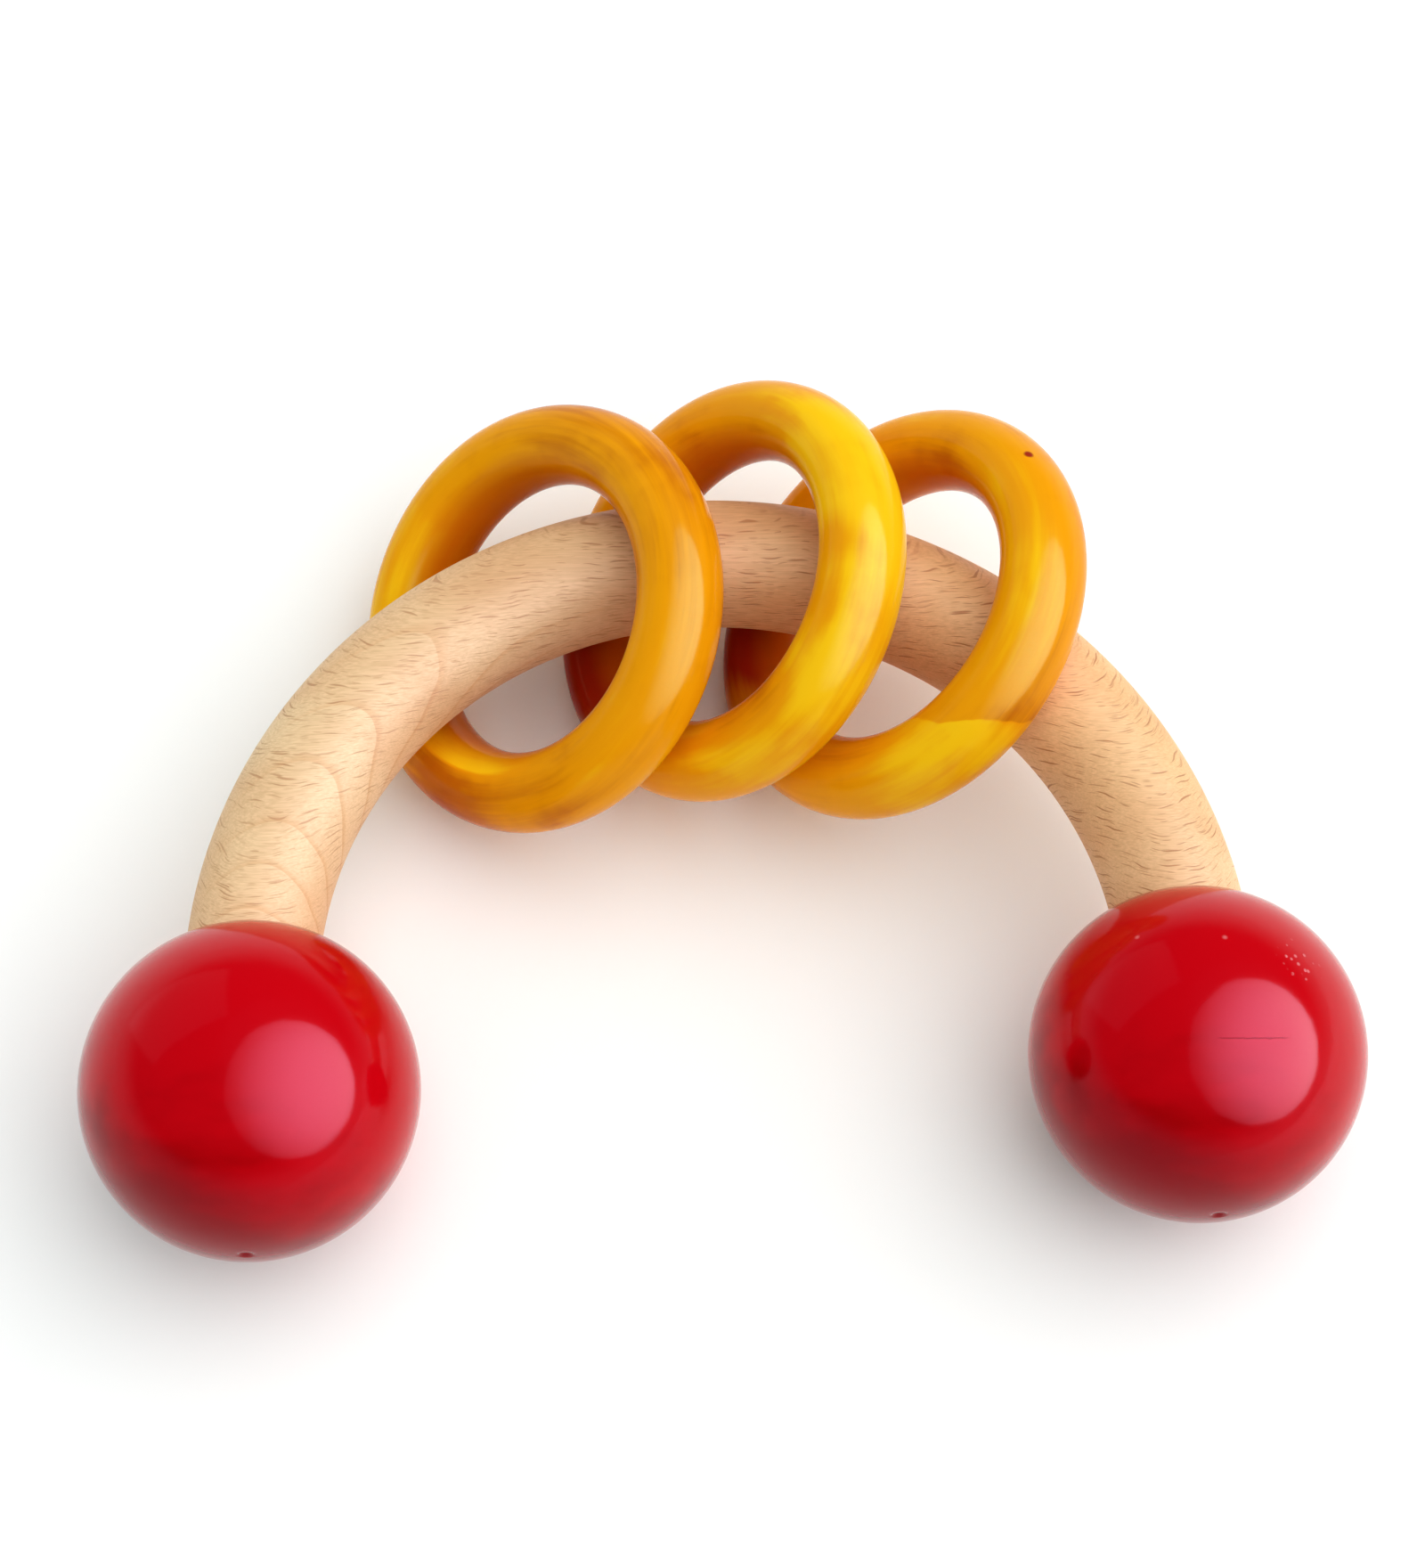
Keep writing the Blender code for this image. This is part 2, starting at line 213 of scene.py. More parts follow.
HANDLE_LOW, HANDLE_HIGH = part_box("half_ring_handle")
BALL_LOW, BALL_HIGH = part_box("right_ball")
DOWEL_LOW, DOWEL_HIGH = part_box("right_dowel")
BAR = HANDLE_HIGH.z - HANDLE_LOW.z
ARC = HANDLE_HIGH.y - BAR / 2
ARM_HEIGHT = (HANDLE_LOW.z + HANDLE_HIGH.z) / 2
BALL = BALL_HIGH.x - BALL_LOW.x
BALL_Y = BALL_LOW.y + BALL / 2
PIN = DOWEL_HIGH.x - DOWEL_LOW.x
PIN_LENGTH = DOWEL_HIGH.y - DOWEL_LOW.y
RING_SIZES = ring_place("middle_ring")[2]


# Settings that a user would change

def amount(name, description, default, **more):
    return FloatProperty(name=name, description=description, default=default, min=0.0, **more)


def length(name, description, default):
    return amount(name, description, default, unit="LENGTH", precision=5)


def colour(name, description, default):
    return FloatVectorProperty(
        name=name, description=description, default=default, min=0.0, max=1.0, size=3,
        subtype="COLOR",
    )


def angle(name, description, degrees):
    return FloatProperty(
        name=name, description=description, default=math.radians(degrees), subtype="ANGLE"
    )


class HandleSettings(bpy.types.PropertyGroup):
    arc: length("Arc radius", "Radius of the half ring's midline", ARC)
    bar: length("Bar diameter", "Thickness of the round bar", BAR)
    chamfer: length("End chamfer", "Chamfer on the hidden ends of the bar", 0.8 * MM)
    pale: colour("Pale wood", "Early growth of the beech", (0.832, 0.574, 0.332))
    late: colour("Late wood", "Thin dark line at the end of each year's growth", (0.68, 0.35, 0.15))
    # Tan is the colour of the painted shade patches on the handle
    tan: colour("Tan wood", "Darker places of the beech", (0.70, 0.405, 0.205))
    warm: colour("Warm wood", "Beech towards the right arm", (0.85, 0.515, 0.252))
    fleck: colour("Flecks", "Rays of the beech, seen as short dashes", (0.40, 0.14, 0.04))


class BallSettings(bpy.types.PropertyGroup):
    diameter: length("Diameter", "Diameter of each ball", BALL)
    clearance: length("Socket clearance", "Glue gap between socket and arm", 0.3 * MM)
    lip: length("Socket lip", "Round-over of the lacquered edge of the socket", 0.35 * MM)
    mark: length("Lathe mark", "Diameter of the centre mark left by the lathe", 2.0 * MM)
    mark_depth: length("Lathe mark depth", "Depth of the centre mark", 0.5 * MM)
    red: colour("Red", "Red lacquer", (0.53, 0.0004, 0.0040))
    # Deep red is both the thicker lacquer and the painted shade on the lower front left of each
    # ball
    deep_and_shade: colour("Deep red", "Lacquer where it lies thicker", (0.26, 0.0002, 0.0008))
    blister: colour("Blisters", "Small pale bubbles in the lacquer", (0.80, 0.22, 0.24))


class DowelSettings(bpy.types.PropertyGroup):
    diameter: length("Diameter", "Diameter of the fluted pins", PIN)
    length: length("Length", "Length of the fluted pins", PIN_LENGTH)
    flute_depth: length("Flute depth", "Depth of the glue flutes", 0.35 * MM)
    chamfer: length("Chamfer", "Chamfer on the ends of the pins", 0.8 * MM)
    flutes: IntProperty(name="Flutes", description="Glue flutes round a pin", default=12, min=3)
    wood: colour("Wood", "Bare beech of the pins", (0.66, 0.45, 0.27))


class RingSettings(bpy.types.PropertyGroup):
    midline: length("Midline radius", "Radius of the middle of the rim", RING_SIZES[0])
    width: length("Width", "Rim measured across the ring's axis", RING_SIZES[1])
    thickness: length("Thickness", "Rim measured along the ring's axis", RING_SIZES[2])
    yellow: colour("Yellow", "Lacquer over pale wood", (0.97, 0.55, 0.006))
    amber: colour("Amber", "Lacquer over most of the wood", (0.85, 0.325, 0.002))
    brown: colour("Brown", "Lacquer over dark grain", (0.54, 0.135, 0.002))
    # Umber is also the painted shade where the rims pass under the arm
    umber_and_shade: colour("Umber", "Lacquer pooled where the rings lay together", (0.32, 0.012, 0.002))
    # Inside is painted shade: deeper orange on the inner face of each rim
    inside: colour("Inside", "Lacquer that gathers inside the ring", (0.56, 0.10, 0.001))


class StageSettings(bpy.types.PropertyGroup):
    floor_colour: colour("Floor", "Plain pale floor", (0.948, 0.955, 0.95))
    key_strength: amount("Key light", "Light from the large soft source", 1.98)
    key_size: angle("Key size", "Angle that the large soft source fills", 84.0)
    fill_strength: amount("Fill light", "Even light from all round", 1.70)
    fill_size: angle("Fill size", "Angle that the even light fills", 145.0)
    gloss: amount("Gloss light", "Brightness of the softbox seen in gloss", 20.5)
    gloss_size: angle("Gloss size", "Angle that the softbox fills", 90.0)
    panel_power: amount("Panel", "Power of the faint panel seen in gloss", 1.8, unit="POWER")
    sky: amount("Sky", "Brightness overhead", 0.08)
    horizon: amount("Horizon", "Brightness of the backdrop", 1.0)
    azimuth: angle("Azimuth", "Camera's turn to the left of the front", 6.136)
    elevation: angle("Elevation", "Camera's height above the horizon", 65.256)
    roll: angle("Roll", "Camera's turn about its own line of sight", 3.568)
    distance: length("Distance", "Camera's distance from its target", 484.0 * MM)
    focal: amount(
        "Focal length", "Lens of the camera", 79.21, subtype="DISTANCE_CAMERA", unit="CAMERA"
    )


class RattleSettings(bpy.types.PropertyGroup):
    handle: PointerProperty(type=HandleSettings)
    balls: PointerProperty(type=BallSettings)
    dowels: PointerProperty(type=DowelSettings)
    rings: PointerProperty(type=RingSettings)
    stage: PointerProperty(type=StageSettings)


# Materials

class Nodes:
    """Short ways to add nodes to a shader tree and to wire them."""

    def __init__(self, tree):
        self.tree = tree

    def feed(self, socket, value):
        """Wire an output into a socket, or write a plain value on it."""
        if isinstance(value, bpy.types.NodeSocket):
            self.tree.links.new(value, socket)
        elif socket.type == "RGBA" and len(value) == 3:
            socket.default_value = (*value, 1.0)
        else:
            socket.default_value = value

    def node(self, kind, inputs, out=0, **options):
        made = self.tree.nodes.new("ShaderNode" + kind)
        for option, value in options.items():
            setattr(made, option, value)
        for socket, value in inputs.items():
            self.feed(made.inputs[socket], value)
        return made.outputs[out]

    def math(self, operation, *values):
        return self.node("Math", dict(enumerate(values)), operation=operation)

    def times(self, first, second):
        return self.math("MULTIPLY", first, second)

    def vector(self, operation, *values, out=0):
        return self.node("VectorMath", dict(enumerate(values)), out=out, operation=operation)

    def part(self, vector, axis):
        return self.node("SeparateXYZ", {0: vector}, out="XYZ".index(axis))

    def fade(self, value, start, end, low=0.0, high=1.0):
        """Soft step of a value from one level to another."""
        inputs = {0: value, 1: start, 2: end, 3: low, 4: high}
        return self.node("MapRange", inputs, interpolation_type="SMOOTHSTEP")


class Finish(Nodes):
    """A procedural material whose nodes work in millimetres on the piece's own coordinates."""

    def __init__(self, name, gloss):
        self.material = bpy.data.materials.new(name)
        self.material.use_nodes = True
        super().__init__(self.material.node_tree)
        for socket, value in gloss.items():
            self.coat(socket, value)

    def coat(self, socket, value):
        """Set one property of the surface."""
        self.feed(self.tree.nodes["Principled BSDF"].inputs[socket], value)

    def place(self, location=(0, 0, 0), rotation=(0, 0, 0)):
        """Coordinates in millimetres, seen from a place and turn on the piece."""
        spot = self.node("TexCoord", {}, out="Object")
        return self.node(
            "Mapping",
            {"Vector": spot, "Location": location, "Rotation": rotation, "Scale": (MM, MM, MM)},
            vector_type="TEXTURE",
        )

    def stretch(self, vector, scale, shift=(0, 0, 0)):
        return self.node("Mapping", {"Vector": vector, "Location": shift, "Scale": scale})

    def noise(
        self, vector, scale=1.0, detail=2.0, roughness=0.5, distortion=0.0, turn=None, out=0
    ):
        """Soft noise, with a turn as its fourth coordinate where one is given."""
        inputs = {"Vector": vector, "Scale": scale, "Detail": detail, "Roughness": roughness}
        inputs["Distortion"] = distortion
        if turn is None:
            return self.node("TexNoise", inputs, out)
        return self.node("TexNoise", {**inputs, "W": turn}, out, noise_dimensions="4D")

    def wander(self, vector, scale, detail, reach):
        """Coordinates moved about by a soft noise."""
        drift = self.noise(self.stretch(vector, scale), detail=detail, out="Color")
        drift = self.vector("SUBTRACT", drift, (0.5, 0.5, 0.5))
        return self.vector("ADD", vector, self.vector("MULTIPLY", drift, reach))

    def vary(self, tone, noise, strength):
        """Tone raised and lowered by a noise."""
        return self.math("MULTIPLY_ADD", self.math("SUBTRACT", noise, 0.5), strength, tone)

    def mix(self, factor, first, second, blend="MIX"):
        """Colour mix: sockets 0, 6 and 7 hold the factor and the two colours."""
        return self.node(
            "Mix", {0: factor, 6: first, 7: second}, out=2, data_type="RGBA", blend_type=blend
        )

    def shade(self, hue, factor, dark, light):
        """Colour multiplied by a tint between two others."""
        return self.mix(1.0, hue, self.mix(factor, dark, light), "MULTIPLY")

    def cells(self, vector, spacing, half):
        """Soft lens-shaped spots, one in each cell of the given spacing, and a random value."""
        spread = self.stretch(vector, tuple(1 / side for side in spacing))
        found = self.node("TexVoronoi", {"Vector": spread, "Scale": 1.0}).node
        offset = self.vector("SUBTRACT", spread, found.outputs["Position"])
        scaled = self.stretch(offset, tuple(s / h for s, h in zip(spacing, half)))
        far = self.vector("LENGTH", scaled, out="Value")
        return self.fade(far, 1.0, 0.45), self.part(found.outputs["Color"], "X")

    def near(self, vector, place, reach):
        """Soft round patch about a place."""
        return self.fade(self.vector("DISTANCE", vector, place, out="Value"), reach, 0.0)

    def bump(self, *layers):
        """Stack bumps, each a height and how deep it is in millimetres, onto the surface."""
        normal = None
        for height, depth in layers:
            inputs = {"Height": height, "Distance": depth * MM, "Strength": 1.0}
            if normal is not None:
                inputs["Normal"] = normal
            normal = self.node("Bump", inputs)
        self.coat("Normal", normal)


def growth_lines(finish, grain, along, outward):
    """Dark late wood of each year, clearest inside the arc and towards the left arm."""
    heart = finish.stretch(grain, (0, 1, 1), HEART)
    years = finish.math("DIVIDE", finish.vector("LENGTH", heart, out="Value"), YEAR_WIDTH)
    year = finish.math("FRACT", years)
    late = finish.math("MAXIMUM", finish.fade(year, *LATE_BAND), finish.fade(year, *LATE_LINE))
    late = finish.times(late, finish.fade(year, *LATE_END))
    inside = finish.math("ADD", finish.fade(outward, *FIGURE_INSIDE), FIGURE_LEAST)
    return finish.times(late, finish.times(finish.fade(along, *FIGURE_ALONG), inside))


def ray_flecks(finish, grain, along, outward, height):
    """Rays cut by the surface, seen as short dashes that bend with it in the right arm."""
    rays = finish.wander(grain, *RAY_WANDER)
    bend = finish.times(finish.times(outward, outward), RAY_BEND)
    sunk = finish.math("SUBTRACT", RAY_TOP, height)
    bend = finish.math("MULTIPLY_ADD", sunk, RAY_DIP, bend)
    bend = finish.times(bend, finish.fade(along, *RAY_BEND_ALONG))
    rays = finish.vector("ADD", rays, finish.node("CombineXYZ", {1: bend}))
    flecks = []
    for shift, spacing, half, shown in RAYS:
        fleck, chance = finish.cells(finish.stretch(rays, (1, 1, 1), shift), spacing, half)
        flecks.append(finish.times(fleck, finish.fade(chance, *shown)))
    return finish.math("MAXIMUM", *flecks)


def beech(name, pale, warm, tan, late, fleck):
    """Sanded beech: growth layers and rays lie at 45 degrees to the table, fibres along X."""
    finish = Finish(name, BEECH_GLOSS)
    piece = finish.place()
    wood = finish.place(rotation=(GRAIN_TILT, 0, 0))
    grain = finish.wander(wood, *GRAIN_WANDER)
    along = finish.part(wood, "X")
    from_axis = finish.vector("LENGTH", finish.vector("MULTIPLY", piece, LEVEL), out="Value")
    outward = finish.math("SUBTRACT", from_axis, ARC / MM)

    back = finish.fade(finish.part(piece, "Y"), *WARM_BACK)
    hue = finish.mix(finish.times(finish.fade(along, *WARM_ALONG), back), pale, warm)
    # Painted shade: darker tan patches along the arc
    for spot, reach in TAN_SHADE_PLACES:
        hue = finish.mix(finish.times(finish.near(piece, spot, reach), TAN_SHADE_SHARE), hue, tan)
    hue = finish.mix(growth_lines(finish, grain, along, outward), hue, late)

    scale, levels, dark, light = CLOUDS
    cloud = finish.noise(finish.stretch(grain, scale))
    hue = finish.shade(hue, finish.fade(cloud, *levels), dark, light)
    scale, levels, dark, light = FIBRES
    fibre = finish.noise(
        finish.stretch(grain, scale), detail=FIBRE_DETAIL, roughness=FIBRE_ROUGHNESS
    )
    hue = finish.shade(hue, finish.fade(fibre, *levels), dark, light)

    flecks = ray_flecks(finish, grain, along, outward, finish.part(piece, "Z"))
    hue = finish.mix(finish.times(flecks, finish.fade(along, *RAY_TONE)), hue, fleck)
    finish.coat("Base Color", hue)
    finish.coat("Roughness", finish.fade(fibre, *SANDED))
    finish.bump((fibre, WOOD_RELIEF), (finish.math("SUBTRACT", 1.0, flecks), WOOD_RELIEF))
    return finish.material


def blisters(finish, spot):
    """Patch of small bubbles, and two single ones beside it."""
    found, chance = finish.cells(spot, BLISTER_SPACING, BLISTER_HALF)
    found = finish.times(found, finish.fade(chance, *BLISTER_CHANCE))
    found = finish.times(found, finish.fade(finish.near(spot, *BLISTERS), *BLISTER_EDGE))
    for place in PIPS:
        found = finish.math("MAXIMUM", found, finish.near(spot, place, PIP_REACH))
    return found


def hairline(finish, spot):
    """Fine crack that wavers along a line and dies out at its ends."""
    way, offset, place, reach = HAIRLINE
    waver = finish.times(finish.noise(spot, HAIRLINE_SCALE), HAIRLINE_WAVER)
    off = finish.math("SUBTRACT", finish.vector("DOT_PRODUCT", spot, way, out="Value"), offset)
    off = finish.math("SUBTRACT", finish.math("ADD", off, HAIRLINE_WAVER / 2), waver)
    line = finish.fade(finish.math("ABSOLUTE", off), *HAIRLINE_WIDTH)
    return finish.times(line, finish.fade(finish.near(spot, place, reach), *HAIRLINE_ENDS))


def red_lacquer(name, look, centre, marked):
    """Gloss lacquer sprayed on a turned ball, with or without its few blisters and a hairline."""
    finish = Finish(name, RED_GLOSS)
    spot = finish.place(location=centre)
    uneven = finish.noise(finish.stretch(spot, DEPTH_SCALE), detail=DEPTH_DETAIL)
    # Painted shade: the slope deepens the red towards the ball's lower front left
    painted_shade = finish.vector("DOT_PRODUCT", spot, SHADE_SLOPE, out="Value")
    depth = finish.math("MULTIPLY_ADD", uneven, DEPTH_NOISE, painted_shade)
    hue = finish.mix(finish.fade(depth, *DEPTH_RANGE), look.red, look.deep_and_shade)
    layers = [(finish.noise(spot, RED_RIPPLE, 1.0), RIPPLE_RELIEF)]
    if marked:
        pips = blisters(finish, spot)
        line = hairline(finish, spot)
        hue = finish.mix(finish.times(line, HAIRLINE_TONE), hue, look.deep_and_shade)
        hue = finish.mix(finish.times(pips, PIP_TONE), hue, look.blister)
        layers += [(pips, PIP_RELIEF), (finish.math("SUBTRACT", 1.0, line), HAIRLINE_RELIEF)]
    finish.coat("Base Color", hue)
    finish.bump(*layers)
    return finish.material


def shade_edge_tone(finish, ring, across, tone, shade_edge):
    """Tone with painted shade beyond an edge along the rim."""
    edge, spot, reach, change = shade_edge
    shaded = finish.times(finish.fade(across, *edge), finish.near(ring, spot, reach))
    return finish.math("MULTIPLY_ADD", shaded, change, tone)


def seam_tone(finish, ring, tone, seam):
    """Tone with a wavering edge across the ring: paler below it and darker just above."""
    way, offset, spot, reach = seam
    waver = finish.noise(ring, SEAM_SCALE, 1.0)
    edge = finish.math("MULTIPLY_ADD", waver, SEAM_WAVER, offset - SEAM_WAVER / 2)
    side = finish.math("SUBTRACT", finish.vector("DOT_PRODUCT", ring, way, out="Value"), edge)
    patch = finish.near(ring, spot, reach)
    below = finish.times(finish.fade(side, *SEAM_BELOW), patch)
    above = finish.times(finish.fade(side, *SEAM_ABOVE), finish.fade(side, *SEAM_FADE))
    tone = finish.math("MULTIPLY_ADD", below, SEAM_PALE, tone)
    return finish.math("MULTIPLY_ADD", finish.times(above, patch), SEAM_DARK, tone)


def yellow_lacquer(piece, place, look, seed):
    """Translucent gloss lacquer over a turned ring, with streaks that follow the rim."""
    finish = Finish(piece + "_yellow_lacquer", YELLOW_GLOSS)
    ring = finish.place(location=place.to_translation(), rotation=place.to_euler())
    flat = finish.vector("MULTIPLY", ring, LEVEL)
    across = finish.vector("LENGTH", flat, out="Value")
    around = finish.vector("NORMALIZE", flat)
    rim = finish.node(
        "CombineXYZ", {0: across, 1: finish.part(ring, "Z"), 2: finish.part(around, "X")}
    )
    turn = finish.math("MULTIPLY_ADD", finish.part(around, "Y"), STREAK_TURN, seed * RING_TURN)

    streak = finish.noise(
        finish.stretch(rim, STREAK_SCALE), detail=STREAK_DETAIL, distortion=STREAK_WAVER, turn=turn
    )
    cloud = finish.noise(finish.stretch(rim, CLOUD_SCALE), detail=CLOUD_DETAIL, turn=turn)
    fine = finish.noise(
        finish.stretch(rim, FINE_SCALE), detail=FINE_DETAIL, roughness=FINE_ROUGHNESS, turn=turn
    )
    shift = (seed * RING_SHIFT, 0, 0)
    smudge = finish.noise(finish.stretch(ring, SMUDGE_SCALE, shift), detail=SMUDGE_DETAIL)
    outer, inner_shade = (
        [(look.midline + share * look.width) / MM for share in band]
        for band in (OUTER_SHADE_BAND, INNER_SHADE_BAND)
    )
    tone = finish.math("MULTIPLY_ADD", streak, STREAK_TONE, STREAK_BASE)
    tone = finish.vary(tone, cloud, CLOUD_TONE)
    tone = finish.vary(tone, fine, FINE_TONE)
    tone = finish.math("ADD", tone, finish.fade(smudge, *SMUDGE_TONE))
    # Painted shade: darker towards the outer edge of the rim
    tone = finish.math("ADD", tone, finish.fade(across, *outer, *OUTER_SHADE_TONE))
    # Painted shade: the two strongest dark patches lie where the rims pass under the arm
    for spot, reach, change in TONE_AND_SHADE_PATCHES[piece]:
        tone = finish.math("MULTIPLY_ADD", finish.near(ring, spot, reach), change, tone)
    # Painted shade: the left ring darkens beyond an edge along its rim
    if piece in SHADE_EDGES:
        tone = shade_edge_tone(finish, ring, across, tone, SHADE_EDGES[piece])
    if piece in SEAMS:
        tone = seam_tone(finish, ring, tone, SEAMS[piece])

    # Tone runs from umber, the darkest and mostly painted shade, through brown and amber to yellow
    hue = finish.mix(finish.fade(tone, *BROWN_TONES), look.umber_and_shade, look.brown)
    hue = finish.mix(finish.fade(tone, *AMBER_TONES), hue, look.amber)
    hue = finish.mix(finish.fade(tone, *YELLOW_TONES), hue, look.yellow)
    # Painted shade: deeper orange on the inner face of the rim
    hue = finish.mix(finish.fade(across, *inner_shade, *INNER_SHADE_SHARE), hue, look.inside)
    finish.coat("Base Color", hue)
    ripple = finish.noise(ring, YELLOW_RIPPLE, 1.0)
    finish.bump((ripple, RIPPLE_RELIEF), (streak, RIPPLE_RELIEF))
    return finish.material


def pale_floor(tone):
    """Matt stage surface with a faint mottle."""
    finish = Finish("pale_floor", FLOOR_GLOSS)
    mottle = finish.noise(finish.place(), MOTTLE_SCALE)
    darker = tuple(MOTTLE_SHADE * channel for channel in tone)
    finish.coat("Base Color", finish.mix(mottle, darker, tone))
    return finish.material


# Meshes

def spin(bm, turn, steps, axis=Z_AXIS, geom=None, merge=False, rise=0.0):
    return bmesh.ops.spin(
        bm,
        geom=geom if geom is not None else bm.verts[:] + bm.edges[:],
        cent=(0, 0, 0),
        axis=axis,
        dvec=(0, 0, rise / steps),
        angle=turn,
        steps=steps,
        use_merge=merge,
    )


def open_edges(bm):
    return [edge for edge in bm.edges if len(edge.link_faces) < 2]


def add_piece(name, bm, material, body, place):
    """Close a bmesh into a smooth piece that rides on a body in place of its CAD node."""
    bmesh.ops.remove_doubles(bm, verts=bm.verts, dist=MERGE_DISTANCE)
    bmesh.ops.transform(bm, matrix=place, verts=bm.verts)
    bmesh.ops.recalc_face_normals(bm, faces=bm.faces)
    mesh = bpy.data.meshes.new(name)
    bm.to_mesh(mesh)
    bm.free()
    mesh.shade_smooth()
    mesh.set_sharp_from_angle(angle=SHARP_ANGLE)
    mesh.materials.append(material)
    piece = bpy.data.objects.new(name + "_finished", mesh)
    bpy.context.scene.collection.objects.link(piece)
    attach(piece, body)
    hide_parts(name)


def half_ring(settings, pin, pin_length, clearance):
    """Bent bar: a circle swept half round, with chamfered ends bored for the dowels."""
    bm = bmesh.new()
    section = Matrix.Translation((settings.arc, 0, 0)) @ Matrix.Rotation(math.pi / 2, 4, "X")
    bmesh.ops.create_circle(bm, segments=BAR_SIDES, radius=settings.bar / 2, matrix=section)
    spin(bm, math.pi, ARC_STEPS)
    bmesh.ops.edgeloop_fill(bm, edges=open_edges(bm))
    rims = [edge for edge in bm.edges if any(len(face.verts) > 4 for face in edge.link_faces)]
    bmesh.ops.bevel(
        bm, geom=rims, offset=settings.chamfer, segments=CHAMFER_STEPS, profile=0.5,
        affect="EDGES", material=-1,
    )
    for end in [face for face in bm.faces if len(face.verts) > 4]:
        flat = (end.edges[0].verts[0].co + end.edges[0].verts[1].co) / 2
        wall = (flat - end.calc_center_median()).length - pin / 2 - clearance
        bmesh.ops.inset_individual(bm, faces=[end], thickness=wall, use_even_offset=True)
        pushed = bmesh.ops.extrude_face_region(bm, geom=[end])["geom"]
        bore = [item for item in pushed if isinstance(item, bmesh.types.BMVert)]
        bmesh.ops.translate(bm, verts=bore, vec=(0, pin_length / 2 + clearance, 0))
        bmesh.ops.delete(bm, geom=[end], context="FACES_ONLY")
    return bm


def turned_ball(settings, bar, pin, pin_length, reach):
    """Ball turned about Z from its lathe mark to the socket's lip, socket, seat and bore."""
    radius = settings.diameter / 2
    mouth = bar / 2 + settings.clearance
    bore = pin / 2 + settings.clearance
    lip = settings.lip
    start = math.asin(settings.mark / settings.diameter)
    stop = math.pi - math.asin((mouth + lip) / radius)
    bm = bmesh.new()
    first = bm.verts.new((radius * math.sin(start), 0, -radius * math.cos(start)))
    spin(bm, start - stop, BALL_STEPS, axis=(0, 1, 0), geom=[first])
    tip = max(bm.verts, key=lambda vert: vert.co.z)
    top = tip.co.z
    steps = [(mouth + lip * outward, top - lip * down) for outward, down in LIP_CURVE]
    steps += [(mouth, reach), (bore, reach)]
    steps += [(bore, reach - pin_length / 2), (0.0, reach - pin_length / 2)]
    for across, height in steps:
        tip = bmesh.ops.extrude_vert_indiv(bm, verts=[tip])["verts"][0]
        tip.co = (across, 0, height)
    mark = bmesh.ops.extrude_vert_indiv(bm, verts=[first])["verts"][0]
    mark.co = (settings.mark * MARK_STEP[0], 0, settings.mark_depth * MARK_STEP[1] - radius)
    point = bmesh.ops.extrude_vert_indiv(bm, verts=[mark])["verts"][0]
    point.co = (0, 0, settings.mark_depth - radius)
    spin(bm, 2 * math.pi, BALL_SIDES, merge=True)
    return bm


def fluted_pin(settings):
    """Dowel about Z with glue flutes that wind slowly round it."""
    bm = bmesh.new()
    radius = settings.diameter / 2
    sides = FLUTE_SIDES * settings.flutes
    ring = bmesh.ops.create_circle(bm, segments=sides, radius=radius)["verts"]
    for vert in ring:
        turn = math.atan2(vert.co.y, vert.co.x)
        groove = settings.flute_depth * math.sqrt(max(0.0, math.cos(settings.flutes * turn)))
        vert.co *= 1.0 - groove / radius
    shank = settings.length - 2 * settings.chamfer
    bmesh.ops.translate(bm, verts=ring, vec=(0, 0, -shank / 2))
    spin(bm, FLUTE_TURN, PIN_STEPS, rise=shank)
    for way in (-1, 1):
        rim = [edge for edge in open_edges(bm) if edge.verts[0].co.z * way > 0]
        grown = bmesh.ops.extrude_edge_only(bm, edges=rim)["geom"]
        tip = [item for item in grown if isinstance(item, bmesh.types.BMVert)]
        inward = 1.0 - settings.chamfer / radius
        bmesh.ops.scale(bm, verts=tip, vec=(inward, inward, 1))
        bmesh.ops.translate(bm, verts=tip, vec=(0, 0, way * settings.chamfer))
    bmesh.ops.edgeloop_fill(bm, edges=open_edges(bm))
    return bm


def turned_ring(settings):
    """Closed ring of oval section about Z."""
    bm = bmesh.new()
    oval = Matrix.Diagonal((settings.width / 2, settings.thickness / 2, 1, 1))
    upright = Matrix.Rotation(math.pi / 2, 4, "X")
    out = Matrix.Translation((settings.midline, 0, 0))
    bmesh.ops.create_circle(bm, segments=RING_SIDES, radius=1, matrix=out @ upright @ oval)
    spin(bm, 2 * math.pi, RING_STEPS, merge=True)
    return bm


def facing(axis, across):
    """Turn whose Z is the axis and whose X lies as near as it can to another direction."""
    up = axis.normalized()
    side = (across - up * across.dot(up)).normalized()
    return Matrix((side, up.cross(side), up)).transposed().to_4x4()


# Stage

def add_floor(tone):
    """Round pale floor just under the table height, so that nothing lies in its plane."""
    bm = bmesh.new()
    bmesh.ops.create_circle(bm, cap_ends=True, segments=FLOOR_SIDES, radius=FLOOR_RADIUS)
    bmesh.ops.translate(bm, verts=bm.verts, vec=(0, 0, -FLOOR_DROP))
    mesh = bpy.data.meshes.new("floor")
    bm.to_mesh(mesh)
    bm.free()
    mesh.materials.append(pale_floor(tone))
    floor = bpy.data.objects.new("floor", mesh)
    bpy.context.scene.collection.objects.link(floor)


